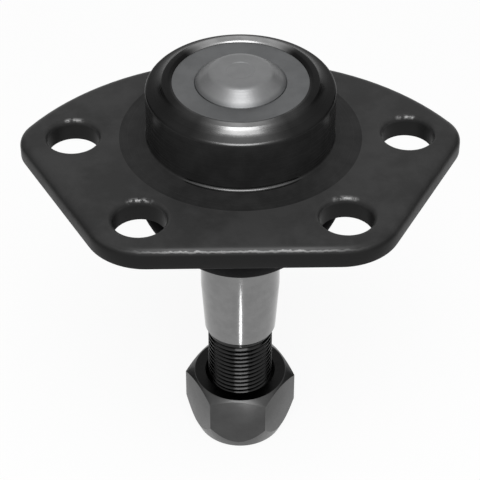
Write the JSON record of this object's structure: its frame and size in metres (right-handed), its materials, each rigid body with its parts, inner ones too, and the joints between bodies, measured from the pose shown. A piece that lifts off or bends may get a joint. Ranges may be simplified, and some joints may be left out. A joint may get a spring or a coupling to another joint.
{
  "type": "suspension ball joint",
  "caption": "Bolt-on suspension ball joint: flange plate, round housing with domed cover, swinging tapered ball stud in a rubber boot, and lock nut.",
  "frame": {"origin": "centre of the ball, which lies in the plane of the flange's flat underside, midway between the rear pair of bolt holes", "axes": "+Z along the stud's axis, out through the domed cover; +X along the rear pair of holes; -Y towards the flange's straight front edge"},
  "size_m": [0.1134, 0.0808, 0.1226],
  "materials": {
    "black_plate": "black phosphate coating, satin, bright wear on edges",
    "black_housing": "black phosphate coating, satin",
    "cover_steel": "bare pressed steel, brushed",
    "seal_rubber": "matte",
    "spring_wire": "bare spring wire",
    "plain_steel": "bare steel",
    "bearing_plastic": "natural acetal",
    "bearing_bronze": "sintered bronze, oiled",
    "stud_steel": "turned and ground steel",
    "boot_rubber": "black chloroprene, semi-matte",
    "nut_steel": "dark phosphated steel",
    "nylon": "nylon, semi-matte"
  },
  "bodies": {
    "socket": {"flange_plate": "black_plate", "housing": "black_housing", "cover_plate": "cover_steel", "cover_seal": "seal_rubber", "preload_spring": "spring_wire", "pressure_plate": "plain_steel", "upper_bearing": "bearing_plastic", "lower_bearing": "bearing_plastic", "boot_clamp_ring": "plain_steel"},
    "boot": {"dust_boot": "boot_rubber"},
    "half_ball": {"half_ball_bearing": "bearing_bronze", "boot_garter_ring": "spring_wire"},
    "stud": {"ball_stud": "stud_steel"},
    "nut": {"lock_nut": "nut_steel", "nut_insert": "nylon"}
  },
  "joints": [
    {"name": "tilt_x", "type": "hinge", "parent": "socket", "child": "boot", "pos_m": [0, 0, 0], "axis": [1, 0, 0], "range_deg": [-18, 18], "deforming": ["dust_boot"]},
    {"name": "tilt_y", "type": "hinge", "parent": "boot", "child": "half_ball", "pos_m": [0, 0, 0], "axis": [0, 1, 0], "range_deg": [-18, 18], "deforming": ["dust_boot"]},
    {"name": "stud_spin", "type": "hinge", "parent": "half_ball", "child": "stud", "pos_m": [0, 0, 0], "axis": [0, 0, 1], "continuous": true},
    {"name": "nut_travel", "type": "slide", "parent": "stud", "child": "nut", "axis": [0, 0, 1], "range_m": [-0.015, 0.0155]}
  ]
}
